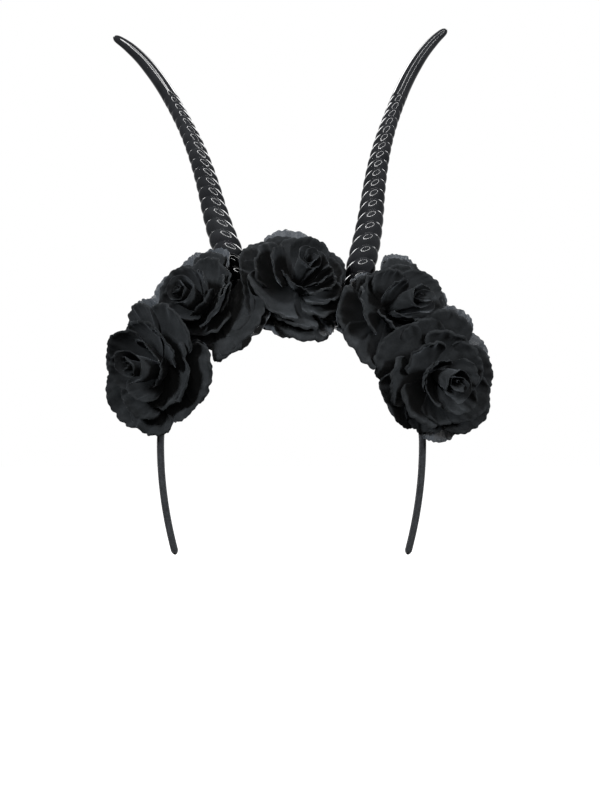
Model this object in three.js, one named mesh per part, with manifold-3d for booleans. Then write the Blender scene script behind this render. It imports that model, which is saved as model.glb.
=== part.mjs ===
// A costume headband: a fabric-wrapped band that carries two ribbed horns and five fabric roses.
// Millimetres, +Z up, +X to the right as seen from the front, -Y towards the viewer.
// The origin is the middle of the band's inner face at the crown, where it sits on the head.
import * as THREE from 'three';
import { mergeVertices } from 'three/addons/utils/BufferGeometryUtils.js';
import Module from 'manifold-3d';

const wasm = await Module();
wasm.setup();

// Band
const bandThickness = 4.2;
const bandWidth = 8;
const bandHalfSpan = 76;        // from the middle plane to the band's middle line at its widest
const bandRise = 74;            // from the widest place up to the middle line at the crown
const bandLegLength = 64;       // from the widest place down to the tips
const bandLegInset = 8.8;       // how far the tips spring back inwards
const bandEndRounding = 3;
const bandSides = 8;
const bandSteps = 36;
const waist = bandThickness / 2 - bandRise;

// Horns
const hornLength = 210;
const hornRadius = 8.6;
const hornRibs = 21;
const ribsFrom = 0.02;          // share of the length where the ribs begin
const ribsTo = 0.71;            // and where the smooth tip begins
const ribCrowding = 1.35;       // the lowest rib's length over the highest rib's
const ribDepth = 0.15;          // share of the radius
const ribSlant = 20;            // degrees that the ribs drop towards the inner side
const hornSides = 8;
const hornTipSteps = 8;
const hornBedding = 2.4;        // how far the foot straddles the band, below its outer face

// Roses
const roseRadius = 36;
const roseHeight = 32;
const petalWall = 1;
const petalLap = 1.5;           // how far one edge of a petal stands out over its neighbour
const petalShoulder = 0.24;     // how much shorter a petal is at its edges than at its middle
const petalAcross = 3;
const petalUp = 2;
const hubLip = 0.6;
const hubThickness = 1;
const calyxRadius = 4.6;
const calyxWaist = 3.2;
const calyxBedding = 1.5;

// The bud is one strip rolled round the axis.
const budTurns = 1.5;
const budCore = 0.9;
const budPitch = 2.9;
const budSteps = 11;
const budRows = [
  { up: 0.22, girth: 0.60 },
  { up: 0.60, girth: 1.25 },
  { up: 1.00, girth: 1.55 },
];

// Clearances
const gap = 0.3;
const simplest = 0.15;         // corners nearer than this to a flat face are left out
const nearness = 0.18;          // how far the nearer roses' petals lean over their neighbour's
const hornPress = 45;           // how near a horn has to stand to press a rose
const hornFront = 0.8;          // how far petals pass in front of a horn, not beside it
const pressReach = 4;           // how softly petals give way to what they are pressed against
const headDepth = 97;           // half the depth of the head that the petals lie over
const headBack = 30;            // how far the head's middle is behind the band

// Sections of a horn from foot to tip. at and radius are shares of the horn's length and base
// radius; lean and sweep are its slopes in degrees, outwards and backwards.
const hornSections = [
  { at: 0.00, radius: 1.00, lean: 8, sweep: 10 },
  { at: 0.12, radius: 0.97, lean: 13.5, sweep: 14 },
  { at: 0.25, radius: 0.905, lean: 12, sweep: 20 },
  { at: 0.38, radius: 0.745, lean: 6.5, sweep: 24 },
  { at: 0.52, radius: 0.615, lean: 12, sweep: 26 },
  { at: 0.63, radius: 0.52, lean: 18.5, sweep: 26 },
  { at: 0.74, radius: 0.49, lean: 22.5, sweep: 24 },
  { at: 0.86, radius: 0.455, lean: 31, sweep: 20 },
  { at: 0.94, radius: 0.36, lean: 42, sweep: 16 },
  { at: 0.98, radius: 0.25, lean: 50, sweep: 14 },
  { at: 1.00, radius: 0.10, lean: 54, sweep: 12 },
];

// Where the horns stand: side is the way they bend, at is the angle round the crown in degrees
// and lean is an extra slope outwards.
const horns = [
  { name: 'horn_left', side: -1, at: -17.2, lean: 7.7 },
  { name: 'horn_right', side: 1, at: 25.8, lean: 0 },
];

// The roses. at is the angle round the crown and foot the same for the end of the calyx that is
// glued to the band. lift and front are where the rose's back stands off the band's outer face
// and in front of its middle plane. face is where the rose looks, and nearer marks the roses
// whose petals lie over their neighbour's.
// Each petal is a direction in degrees, clockwise from up as the rose is looked at, and its
// length as a share of a plain petal's.
const roses = [
  {
    name: 'rose_left_low', at: -57, foot: -57, lift: 6, front: 15, size: 1, nearer: 1,
    face: [-0.65, -0.74, -0.17],
    sheer_petals: [[40, 0.95], [115, 1], [185, 0.9], [250, 1.1], [325, 0.95]],
    outer_petals: [[5, 1.1], [80, 1.08], [140, 1.05], [220, 1.24], [300, 0.95]],
    middle_petals: [[58, 1.35], [130, 0.95], [200, 0.95], [270, 0.9], [345, 0.95]],
    inner_petals: [[20, 1], [110, 1.05], [200, 1], [290, 1.05]],
  },
  {
    name: 'rose_left_high', at: -31.4, foot: -34, lift: 12.5, front: 8, size: 1, nearer: 0,
    face: [-0.58, -0.69, 0.43],
    sheer_petals: [[290, 1.1], [0, 0.95], [70, 0.95], [140, 1.4], [215, 1]],
    outer_petals: [[325, 1.04], [38, 0.98], [112, 1.42], [160, 1.4], [245, 0.95]],
    middle_petals: [[50, 1.05], [125, 1.25], [195, 1], [265, 0.9], [338, 1.1]],
    inner_petals: [[70, 1.1], [160, 1], [250, 1], [340, 1.05]],
  },
  {
    name: 'rose_centre', at: 1, foot: 1, lift: 12.8, front: 10, size: 1, nearer: 0,
    face: [0.28, -0.765, 0.58],
    sheer_petals: [[5, 0.98], [65, 1.1], [135, 1.05], [200, 1.12], [310, 1.1]],
    outer_petals: [[25, 0.98], [92, 1], [160, 1.1], [222, 1.25], [308, 1.08]],
    middle_petals: [[0, 0.9], [70, 0.95], [140, 1], [215, 1.1], [290, 1]],
    inner_petals: [[45, 1], [135, 1], [225, 1], [315, 1.15]],
  },
  {
    name: 'rose_right_high', at: 35, foot: 40, lift: 15, front: 8, size: 0.98, nearer: 0,
    face: [0.46, -0.79, 0.40],
    sheer_petals: [[5, 1.05], [72, 1.04], [140, 1], [212, 1.3], [272, 1.1]],
    outer_petals: [[30, 1.02], [98, 0.95], [165, 1.05], [232, 1.32], [303, 1]],
    middle_petals: [[45, 1], [115, 0.9], [190, 1], [265, 1.1], [335, 1.05]],
    inner_petals: [[10, 1], [100, 1], [190, 1.05], [280, 1.1]],
  },
  {
    name: 'rose_right_low', at: 63, foot: 63, lift: 12, front: 15, size: 1, nearer: 1,
    face: [0.32, -0.94, -0.07],
    sheer_petals: [[28, 0.96], [90, 0.86], [172, 1], [250, 1], [325, 0.95]],
    outer_petals: [[0, 1.08], [65, 0.84], [128, 1.06], [225, 1.05], [303, 1.1]],
    middle_petals: [[20, 0.95], [90, 0.95], [160, 1], [235, 1.05], [310, 1.15]],
    inner_petals: [[60, 1], [150, 1], [240, 1.1], [330, 1.05]],
  },
];

// The discs of petals from the back of a rose to its middle. Each row gives a plain petal's
// distance from the axis, its height and half its angular width in degrees, from root to rim,
// in shares of the rose's radius and height.
const whorls = [
  { name: 'sheer_petals', rows: [
    { out: 0.12, up: 0.02, spread: 20 },
    { out: 0.66, up: 0.06, spread: 43 },
    { out: 1.06, up: 0.20, spread: 33 },
  ] },
  { name: 'outer_petals', rows: [
    { out: 0.12, up: 0.07, spread: 20 },
    { out: 0.62, up: 0.24, spread: 44 },
    { out: 1.00, up: 0.34, spread: 35 },
  ] },
  { name: 'middle_petals', rows: [
    { out: 0.12, up: 0.12, spread: 20 },
    { out: 0.48, up: 0.47, spread: 47 },
    { out: 0.77, up: 0.66, spread: 36 },
  ] },
  { name: 'inner_petals', rows: [
    { out: 0.10, up: 0.17, spread: 26 },
    { out: 0.31, up: 0.56, spread: 58 },
    { out: 0.42, up: 0.90, spread: 44 },
  ] },
];

const radians = THREE.MathUtils.degToRad;
const lerp = THREE.MathUtils.lerp;
const vector = (x, y, z) => new THREE.Vector3(x, y, z);

// A value of a table between two of its rows, on a straight line.
function between(rows, key, column, x) {
  const next = rows.findIndex((row) => row[key] >= x - 1e-9);
  const i = next < 0 ? rows.length - 1 : Math.max(1, next);
  const share = (x - rows[i - 1][key]) / (rows[i][key] - rows[i - 1][key]);
  return lerp(rows[i - 1][column], rows[i][column], share);
}

// A value of a table whose rows are evenly spaced from 0 to 1.
function along(rows, column, x) {
  const i = Math.min(rows.length - 2, Math.floor(x * (rows.length - 1)));
  return lerp(rows[i][column], rows[i + 1][column], x * (rows.length - 1) - i);
}

// Moves every corner of a blank to where place() puts it.
function bend(blank, place) {
  const corners = blank.attributes.position;
  for (let i = 0; i < corners.count; i += 1) {
    const to = place(vector(0, 0, 0).fromBufferAttribute(corners, i));
    corners.setXYZ(i, to.x, to.y, to.z);
  }
  return blank;
}

function solid(blank) {
  const shape = blank.clone();
  shape.deleteAttribute('normal');
  shape.deleteAttribute('uv');
  const joined = mergeVertices(shape, 1e-4);
  return new wasm.Manifold(new wasm.Mesh({
    numProp: 3,
    triVerts: Uint32Array.from(joined.index.array),
    vertProperties: Float32Array.from(joined.attributes.position.array),
  }));
}

const finishes = {
  bandFabric: new THREE.MeshStandardMaterial({ color: '#232426', roughness: 0.9 }),
  hornPlastic: new THREE.MeshStandardMaterial({ color: '#0b0c0d', roughness: 0.15 }),
  petalFabric: new THREE.MeshStandardMaterial({ color: '#1d1f22', roughness: 0.85 }),
  sheerFabric: new THREE.MeshStandardMaterial({ color: '#2b2d31', roughness: 0.6 }),
  calyxPlastic: new THREE.MeshStandardMaterial({ color: '#161718', roughness: 0.5 }),
};

// Makes a body a named mesh, with its corners in the frame that it is placed by.
function named(name, body, finish, frame = new THREE.Matrix4()) {
  const mesh = body.getMesh();
  const shape = new THREE.BufferGeometry();
  shape.setAttribute('position', new THREE.BufferAttribute(mesh.vertProperties, 3));
  shape.setIndex(new THREE.BufferAttribute(mesh.triVerts, 1));
  shape.applyMatrix4(frame.clone().invert());
  const result = new THREE.Mesh(shape, finish);
  result.name = name;
  return result;
}

// The band's middle line: the point and the outward direction at an angle round the crown.
function crown(angle) {
  const at = vector(bandHalfSpan * Math.sin(angle), 0, waist + bandRise * Math.cos(angle));
  const out = vector(Math.sin(angle) / bandHalfSpan, 0, Math.cos(angle) / bandRise);
  return { at, out: out.normalize() };
}

// The band's middle line by distance, from the left tip (0) over the crown to the right tip.
const bandArc = Math.PI * (bandHalfSpan + bandRise) / 2;
const bandLength = bandArc + 2 * bandLegLength;

function bandLine(distance) {
  const side = distance < bandLength / 2 ? -1 : 1;
  const below = bandLegLength - Math.min(distance, bandLength - distance);
  if (below <= 0) {
    return crown(Math.PI * (distance - bandLength / 2) / bandArc);
  }
  const drop = below / bandLegLength;
  const slope = 2 * bandLegInset * drop / bandLegLength;
  return {
    at: vector(side * (bandHalfSpan - bandLegInset * drop ** 2), 0, waist - below),
    out: vector(side, 0, -slope).normalize(),
  };
}

// The band's blank is a cylinder; extra makes it larger all round, for cutting seats.
function bandBody(extra) {
  const ends = [0, 0.15, 0.5, 1];
  const station = (step) => {
    if (step < ends.length) return ends[step] * bandEndRounding;
    const back = bandSteps - step;
    if (back < ends.length) return bandLength - ends[back] * bandEndRounding;
    const share = (step - ends.length + 1) / (bandSteps - 2 * ends.length + 2);
    return lerp(bandEndRounding, bandLength - bandEndRounding, share);
  };
  const blank = new THREE.CylinderGeometry(1, 1, bandSteps, bandSides, bandSteps);
  return solid(bend(blank, (p) => {
    const distance = station(Math.round(p.y + bandSteps / 2));
    const fromEnd = Math.min(distance, bandLength - distance);
    const rounding = Math.max(0, 1 - fromEnd / bandEndRounding);
    const swell = Math.max(0.25, Math.sqrt(1 - rounding ** 2));
    const squared = (share) => Math.sign(share) * Math.abs(share) ** 0.75;
    const thick = squared(p.x) * (bandThickness / 2 + extra) * swell;
    const wide = squared(p.z) * (bandWidth / 2 + extra) * swell;
    const { at, out } = bandLine(distance);
    return at.addScaledVector(out, thick).add(vector(0, wide, 0));
  }));
}

// A horn's middle line, followed from the foot in short steps.
function hornLine(horn) {
  const { at, out } = crown(radians(horn.at));
  const here = at.clone().addScaledVector(out, bandThickness / 2 - hornBedding);
  const points = [];
  const steps = 400;
  for (let i = 0; i <= steps; i += 1) {
    const lean = Math.tan(radians(between(hornSections, 'at', 'lean', i / steps) + horn.lean));
    const sweep = Math.tan(radians(between(hornSections, 'at', 'sweep', i / steps)));
    const ahead = vector(horn.side * lean, sweep, 1).normalize();
    points.push({ at: here.clone(), ahead });
    here.addScaledVector(ahead, hornLength / steps);
  }
  return (share) => points[Math.round(share * steps)];
}

// The rings of a horn: three to a rib, in its groove and on both shoulders, then the tip's.
function hornRings() {
  const rings = [{ share: 0, depth: 0 }];
  const lengths = [];
  for (let i = 0; i < hornRibs; i += 1) {
    lengths.push(lerp(ribCrowding, 1, i / (hornRibs - 1)));
  }
  const whole = lengths.reduce((sum, length) => sum + length, 0);
  let share = ribsFrom;
  for (const length of lengths) {
    const pitch = (ribsTo - ribsFrom) * length / whole;
    const fade = Math.min(1, 0.35 + 3 * (ribsTo - share));
    rings.push({ share, depth: ribDepth * fade });
    rings.push({ share: share + pitch * 0.3, depth: 0 });
    rings.push({ share: share + pitch * 0.72, depth: 0 });
    share += pitch;
  }
  for (let i = 0; i <= hornTipSteps; i += 1) {
    rings.push({ share: lerp(1, ribsTo, (1 - i / hornTipSteps) ** 1.5), depth: 0 });
  }
  return rings;
}

function hornBody(horn, seat) {
  const line = hornLine(horn);
  const rings = hornRings();
  const steps = rings.length - 1;
  const slant = Math.tan(radians(ribSlant));
  const blank = new THREE.CylinderGeometry(1, 1, steps, hornSides, steps);
  const body = solid(bend(blank, (p) => {
    const { share, depth } = rings[Math.round(p.y + steps / 2)];
    const radius = hornRadius * between(hornSections, 'at', 'radius', share) * (1 - depth);
    const { at, ahead } = line(share);
    const side = vector(0, 1, 0).cross(ahead).normalize();
    const front = side.clone().cross(ahead);
    const slide = share > 0 && share < ribsTo ? horn.side * slant * radius * p.x : 0;
    return at.clone().addScaledVector(side, radius * p.x)
      .addScaledVector(front, radius * p.z).addScaledVector(ahead, slide);
  }));
  return named(horn.name, body.subtract(seat).simplify(gap / 10), finishes.hornPlastic);
}

// The way a distance shrinks but never ends when a petal is pressed against a surface.
function pressed(distance) {
  return (distance + Math.sqrt(distance ** 2 + 4 * pressReach ** 2)) / 2;
}

// A surface that petals don't cross, through a point and facing along a direction.
function wall(point, facing) {
  const away = facing.clone().normalize();
  return (p) => {
    const distance = p.clone().sub(point).dot(away);
    return p.addScaledVector(away, pressed(distance) - distance);
  };
}

// The head, and the band that stands proud of it: an ellipsoid, straight-sided below the waist.
function headWall(p) {
  const proud = THREE.MathUtils.smoothstep(Math.abs(p.y), bandWidth, 2 * bandWidth);
  const over = gap + petalWall / 2 + bandThickness * (0.5 - proud);
  const middle = vector(0, headBack, Math.min(p.z, waist));
  const from = p.clone().sub(middle);
  const fit = Math.sqrt(1 - (headBack / headDepth) ** 2);
  const share = Math.hypot(from.x * fit / (bandHalfSpan + over), from.y / headDepth,
    from.z * fit / (bandRise + over));
  const distance = (share - 1) * bandHalfSpan;
  const reach = pressReach / 2;
  const kept = (distance + Math.sqrt(distance ** 2 + 4 * reach ** 2)) / 2;
  return middle.addScaledVector(from, (1 + kept / bandHalfSpan) / share);
}

// Where a rose stands: its hub, the way it faces, and up and right across that.
function roseFrame(rose) {
  const { at, out } = crown(radians(rose.at));
  const hub = at.clone().addScaledVector(out, bandThickness / 2 + rose.lift);
  hub.y -= rose.front;
  const face = vector(...rose.face).normalize();
  const up = vector(0, 0, 1).addScaledVector(face, -face.z).normalize();
  return { hub, face, up, right: up.clone().cross(face) };
}

// The upright plane that just touches the lower part of a horn, in front of it and beside it.
function hornWall(hub, horn) {
  const line = hornLine(horn);
  const away = hub.clone().sub(line(0.1).at).setZ(0).normalize();
  away.y -= hornFront;
  away.normalize();
  const touches = [0, 0.05, 0.1, 0.15, 0.2, 0.25].map((share) => line(share).at.dot(away)
    + hornRadius * between(hornSections, 'at', 'radius', share));
  return wall(away.clone().multiplyScalar(Math.max(...touches) + gap + petalWall / 2), away);
}

// The surfaces round a rose: between it and its neighbours, beside the horns, and the head.
function roseWalls(index) {
  const mine = roseFrame(roses[index]);
  const walls = [];
  for (const next of [index - 1, index + 1]) {
    if (next < 0 || next >= roses.length) continue;
    const other = roseFrame(roses[next]);
    const towards = mine.hub.clone().sub(other.hub).normalize();
    towards.y += nearness * (roses[next].nearer - roses[index].nearer);
    walls.push(wall(mine.hub.clone().lerp(other.hub, 0.5), towards));
  }
  for (const horn of horns) {
    if (mine.hub.distanceTo(hornLine(horn)(0).at) < hornPress) walls.push(hornWall(mine.hub, horn));
  }
  walls.push(headWall);
  return walls;
}

// Carries a point from a rose's own frame (azimuth clockwise from up, distance out, height)
// to its place, pressed against the surfaces round it but never moved at the hub.
function rosePlace(index) {
  const { hub, face, up, right } = roseFrame(roses[index]);
  const walls = roseWalls(index);
  return (azimuth, out, height) => {
    const free = hub.clone().addScaledVector(face, height)
      .addScaledVector(right, out * Math.sin(azimuth))
      .addScaledVector(up, out * Math.cos(azimuth));
    const pressedTo = walls.reduce((p, press) => press(p), free.clone());
    const give = THREE.MathUtils.smoothstep(Math.hypot(out, height), 6, 20);
    return free.lerp(pressedTo, give);
  };
}

function petal(size, whorl, [direction, length], place) {
  const blank = new THREE.BoxGeometry(2, petalWall, 1, petalAcross, 1, petalUp);
  return solid(bend(blank, (p) => {
    const across = p.x;
    const reach = (0.5 - p.z) * (1 - petalShoulder * Math.abs(across) ** 3);
    const longer = size * (1 + (length - 1) * reach);
    const out = roseRadius * along(whorl.rows, 'out', reach) * longer;
    const up = roseHeight * along(whorl.rows, 'up', reach) * longer;
    const ahead = THREE.MathUtils.clamp(reach + 0.05, 0.1, 1);
    const climb = (column) => along(whorl.rows, column, ahead) - along(whorl.rows, column, ahead - 0.1);
    const [outwards, upwards] = [roseRadius * climb('out'), roseHeight * climb('up')];
    const off = (p.y + petalLap * across * Math.min(1, 2 * reach)) / Math.hypot(outwards, upwards);
    const azimuth = radians(direction + across * along(whorl.rows, 'spread', reach));
    return place(azimuth, out - off * upwards, up + off * outwards);
  }));
}

function whorlBody(rose, whorl, place) {
  const { size } = rose;
  const root = whorl.rows[0];
  const hub = new THREE.CylinderGeometry(1, 1, hubThickness, 8, 1);
  const rim = roseRadius * root.out + hubLip;
  let body = solid(bend(hub, (p) => place(Math.atan2(p.x, -p.z), size * rim * Math.hypot(p.x, p.z),
    size * (roseHeight * root.up + p.y))));
  for (const cut of rose[whorl.name]) {
    body = body.add(petal(size, whorl, cut, place));
  }
  return body.simplify(simplest);
}

function budBody(rose, place) {
  const { size } = rose;
  const spin = rose.inner_petals[0][0];
  const blank = new THREE.BoxGeometry(1, petalWall, 1, budSteps, 1, budRows.length - 1);
  return solid(bend(blank, (p) => {
    const roll = p.x + 0.5;
    const row = 0.5 - p.z;
    const girth = along(budRows, 'girth', row);
    const radius = girth * (budCore + budPitch * budTurns * roll) - p.y;
    const dip = 0.07 * row * Math.sin(radians(360 * budTurns * roll * 1.4));
    return place(radians(spin + 360 * budTurns * roll), size * radius,
      size * roseHeight * (along(budRows, 'up', row) - dip));
  }));
}

// The calyx bends from the band's outer face to the back of the rose.
function calyxBody(rose, seat) {
  const { hub, face } = roseFrame(rose);
  const { at, out } = crown(radians(rose.foot));
  const start = at.clone().addScaledVector(out, bandThickness / 2 - calyxBedding);
  const back = whorls[0].rows[0].up * roseHeight - hubThickness / 2 - gap;
  const end = hub.clone().addScaledVector(face, back * rose.size);
  const pull = start.distanceTo(end) * 0.4;
  const line = new THREE.CubicBezierCurve3(start, start.clone().addScaledVector(out, pull),
    end.clone().addScaledVector(face, -pull), end);
  const blank = new THREE.CylinderGeometry(1, 1, 1, 6, 3);
  const body = solid(bend(blank, (p) => {
    const share = p.y + 0.5;
    const ahead = line.getTangent(share);
    const side = vector(0, 1, 0).cross(ahead).normalize();
    const across = side.clone().cross(ahead);
    const radius = lerp(calyxWaist, calyxRadius, (2 * share - 1) ** 2);
    return line.getPoint(share).addScaledVector(side, radius * p.x)
      .addScaledVector(across, radius * p.z);
  }));
  return body.subtract(seat).simplify(gap / 10);
}

function roseGroup(index, seat) {
  const rose = roses[index];
  const { hub, face, up, right } = roseFrame(rose);
  const frame = new THREE.Matrix4().makeBasis(right, up, face).setPosition(hub);
  const place = rosePlace(index);
  const group = new THREE.Group();
  const add = (piece, body, finish) => {
    group.add(named(`${rose.name}_${piece}`, body, finish, frame));
  };
  add('calyx', calyxBody(rose, seat), finishes.calyxPlastic);
  for (const whorl of whorls) {
    const sheer = whorl.name === 'sheer_petals';
    add(whorl.name, whorlBody(rose, whorl, place), sheer ? finishes.sheerFabric : finishes.petalFabric);
  }
  add('bud', budBody(rose, place), finishes.petalFabric);
  group.name = rose.name;
  group.applyMatrix4(frame);
  return group;
}

const headband = new THREE.Group();
headband.name = 'horn_headband';
headband.add(named('headband', bandBody(0), finishes.bandFabric));
const seat = bandBody(gap);
for (const horn of horns) headband.add(hornBody(horn, seat));
roses.forEach((rose, index) => headband.add(roseGroup(index, seat)));

export default headband;
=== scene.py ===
# %% [markdown]
# A costume headband: a fabric-wrapped band with two ribbed horns and five fabric roses.
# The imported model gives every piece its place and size. This script gives each piece its
# fine shape and its finish: thin pressed petals, beaded horns, woven tape and moulded plastic.
# All tables are in millimetres and degrees, and MM turns them into Blender's metres.

# %% Load the frame
import math
import random

import bpy
import numpy as np
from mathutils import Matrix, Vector


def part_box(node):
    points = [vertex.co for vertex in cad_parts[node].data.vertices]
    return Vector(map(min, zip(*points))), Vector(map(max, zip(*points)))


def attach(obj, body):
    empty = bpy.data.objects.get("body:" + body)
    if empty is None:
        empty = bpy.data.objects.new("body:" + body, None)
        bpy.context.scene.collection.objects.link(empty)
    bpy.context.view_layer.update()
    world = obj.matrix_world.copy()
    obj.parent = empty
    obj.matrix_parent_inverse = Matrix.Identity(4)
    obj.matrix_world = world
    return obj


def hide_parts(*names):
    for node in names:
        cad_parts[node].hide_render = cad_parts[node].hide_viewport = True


bpy.ops.wm.read_factory_settings(use_empty=True)
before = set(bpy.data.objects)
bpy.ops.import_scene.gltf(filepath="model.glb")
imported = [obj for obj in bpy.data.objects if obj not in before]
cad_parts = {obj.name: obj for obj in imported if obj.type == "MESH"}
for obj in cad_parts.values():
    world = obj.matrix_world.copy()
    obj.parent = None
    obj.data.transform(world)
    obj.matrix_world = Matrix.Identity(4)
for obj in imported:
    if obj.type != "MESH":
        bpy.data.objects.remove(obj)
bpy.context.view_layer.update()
MM = 0.001

# %% [markdown]
# The camera comes first, because every later choice is looked at through it. It stands level
# in front of the headband, a little below the crown, and a long lens keeps the far side from
# looking small. A 120 mm lens at about a metre and a half shows 0.58 mm in each pixel.

# %% Camera
CAMERA_AT = (4.93, -1547.0, -46.4)
CAMERA_LENS = 120.0
CAMERA_SENSOR = 36.0


def make_camera():
    """A camera that looks straight along +Y."""
    bpy.ops.object.camera_add(rotation=(math.pi / 2, 0, 0),
                              location=[x * MM for x in CAMERA_AT])
    camera = bpy.context.object
    camera.data.lens = CAMERA_LENS
    camera.data.sensor_width = CAMERA_SENSOR
    bpy.context.scene.camera = camera
    bpy.context.scene.view_settings.view_transform = "Standard"
    return camera


camera = make_camera()
print("camera:", camera.data.lens, "mm lens,", round(-camera.location.y, 2), "m in front")

# %% [markdown]
# Every material needs the same helpers. Colours are picked as sRGB hex values, as a paint
# chart gives them, and Blender mixes light in linear values, so one function converts them.
# Another adds one node with its settings and links, which keeps each finish readable. The
# scale of a pattern is worked out from a real size in millimetres.

# %% Helpers for finishes
FLAT = "flat"            # the attribute that holds where a point lay before the piece was bent
MULTIPLY, ADD = {"operation": "MULTIPLY"}, {"operation": "ADD"}
FINISHES = {}


def linear(colour):
    """An sRGB hex colour as the linear red, green, blue and alpha that a socket takes."""
    parts = [int(colour[i:i + 2], 16) / 255 for i in (1, 3, 5)]
    return [p / 12.92 if p <= 0.04045 else ((p + 0.055) / 1.055) ** 2.4 for p in parts] + [1]


def add_node(material, kind, settings=None, inputs=None, stops=()):
    """Adds a node. An input is a value, or an output to link. Stops are a ramp's two ends."""
    tree = material.node_tree
    node = tree.nodes.new("ShaderNode" + kind)
    for name, value in (settings or {}).items():
        setattr(node, name, value)
    for name, value in (inputs or {}).items():
        if isinstance(value, bpy.types.NodeSocket):
            tree.links.new(value, node.inputs[name])
        else:
            node.inputs[name].default_value = value
    for number, (share, colour) in enumerate(stops):
        node.color_ramp.elements[number].position = share
        node.color_ramp.elements[number].color = linear(colour)
    return node


def new_material(name):
    """A material with no nodes yet."""
    material = bpy.data.materials.new(name)
    material.use_nodes = True
    material.node_tree.nodes.clear()
    return material


def thread_wave(pitch, direction):
    """The settings and inputs of a wave that peaks at each thread, pitch mm apart."""
    return {"bands_direction": direction}, {"Scale": 2 * math.pi / (20 * pitch * MM),
                                            "Distortion": 0.6, "Detail": 1.0,
                                            "Detail Scale": 0.4}


def blotches(place, size, detail=4.0):
    """The inputs of a noise whose blotches are about size mm across."""
    return {"Vector": place, "Scale": 1 / (size * MM), "Detail": detail}


def weave_of(material, place, pitches):
    """The two sets of threads of a cloth, as outputs, from rows of (direction, pitch)."""
    found = []
    for direction, pitch in pitches:
        settings, inputs = thread_wave(pitch, direction)
        wave = add_node(material, "TexWave", settings, {"Vector": place, **inputs})
        found.append(wave.outputs["Fac"])
    return found


def keep_finish(slot, material, shader):
    """Makes the shader the material's surface, and keeps it under its slot's name."""
    add_node(material, "OutputMaterial", inputs={"Surface": shader.outputs[0]})
    FINISHES[slot] = material
    print("finish:", material.name, "with", len(material.node_tree.nodes), "nodes")

# %% [markdown]
# The petals are black polyester, woven fine, stiffened with size and pressed hot into shape.
# Such cloth is matt and slightly mottled, and its threads catch a little light at grazing
# angles, which Sheen gives. Real threads are 0.2 mm apart and would vanish here, so they are
# drawn 0.5 mm apart, as coarse as a close view needs.

# %% Matt petal cloth
PETAL_THREAD = 0.5
MOTTLE_SIZE, FIBRE_SIZE = 9.0, 1.1


def make_petal_cloth():
    material = new_material("stiffened_black_polyester")
    place = add_node(material, "Attribute", {"attribute_name": FLAT}).outputs["Vector"]
    warp, weft = weave_of(material, place, [("X", PETAL_THREAD), ("Y", PETAL_THREAD)])
    weave = add_node(material, "Math", MULTIPLY, {0: warp, 1: weft})
    mottle = add_node(material, "TexNoise", inputs=blotches(place, MOTTLE_SIZE))
    fibres = add_node(material, "TexNoise", inputs=blotches(place, FIBRE_SIZE))
    fine = add_node(material, "Math", MULTIPLY, {0: fibres.outputs["Fac"], 1: 0.35})
    broad = add_node(material, "Math", MULTIPLY, {0: mottle.outputs["Fac"], 1: 0.65})
    share = add_node(material, "Math", ADD, {0: broad.outputs[0], 1: fine.outputs[0]})
    tone = add_node(material, "ValToRGB", inputs={"Fac": share.outputs[0]},
                    stops=[(0.3, "#0d0f10"), (0.7, "#232527")])
    fluff = add_node(material, "Math", MULTIPLY, {0: fibres.outputs["Fac"], 1: 1.5})
    height = add_node(material, "Math", ADD, {0: weave.outputs[0], 1: fluff.outputs[0]})
    bump = add_node(material, "Bump", inputs={
        "Height": height.outputs[0], "Strength": 0.35, "Distance": 0.1 * MM})
    rough = add_node(material, "MapRange", inputs={"Value": mottle.outputs["Fac"],
                                                   3: 0.78, 4: 0.95})
    cloth = add_node(material, "BsdfPrincipled", inputs={
        "Base Color": tone.outputs["Color"],
        "Roughness": rough.outputs["Result"],
        "Specular IOR Level": 0.25,
        "Sheen Weight": 0.18,
        "Sheen Roughness": 0.45,
        "Sheen Tint": linear("#8d949c"),
        "Normal": bump.outputs["Normal"],
    })
    keep_finish("petal_fabric", material, cloth)


make_petal_cloth()

# %% [markdown]
# Behind the matt petals lies a disc of black organza, a plain weave of hard, shiny threads
# with open gaps between them. Light passes through the gaps, so the cloth looks grey against
# a bright wall. The gaps are an Alpha pattern from two sets of threads, drawn 0.8 mm apart
# where real ones are 0.15 mm, so that the mesh still shows as a fine grain.

# %% Sheer organza
ORGANZA_THREAD = 0.8
ORGANZA_FOLD = 7.0         # the size of the places where the cloth lies closer


def make_organza():
    material = new_material("black_organza")
    place = add_node(material, "Attribute", {"attribute_name": FLAT}).outputs["Vector"]
    warp, weft = weave_of(material, place, [("X", ORGANZA_THREAD), ("Y", ORGANZA_THREAD)])
    thread = add_node(material, "Math", {"operation": "MAXIMUM"}, {0: warp, 1: weft}).outputs[0]
    folds = add_node(material, "TexNoise", inputs=blotches(place, ORGANZA_FOLD))
    cover = add_node(material, "MapRange", inputs={
        "Value": folds.outputs["Fac"], 1: 0.3, 2: 0.7, 3: 0.74, 4: 0.9})
    alpha = add_node(material, "MapRange", inputs={
        "Value": thread, 1: 0.25, 2: 0.9, 3: cover.outputs["Result"], 4: 0.95})
    bump = add_node(material, "Bump", inputs={
        "Height": thread, "Strength": 0.5, "Distance": 0.12 * MM})
    tone = add_node(material, "ValToRGB", inputs={"Fac": thread},
                    stops=[(0.3, "#1f2225"), (0.7, "#3c4045")])
    cloth = add_node(material, "BsdfPrincipled", inputs={
        "Base Color": tone.outputs["Color"],
        "Roughness": 0.42,
        "Sheen Weight": 0.3,
        "Sheen Roughness": 0.35,
        "Alpha": alpha.outputs["Result"],
        "Normal": bump.outputs["Normal"],
    })
    keep_finish("sheer_fabric", material, cloth)


make_organza()

# %% [markdown]
# The horns are injection-moulded in hard black plastic with a polished surface. Its IOR is
# about 1.5, and its roughness is low, so every lamp shows as a sharp outline on every rib.
# Cooling leaves a faint waviness like orange peel, and handling leaves a trace of dullness.

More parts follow.
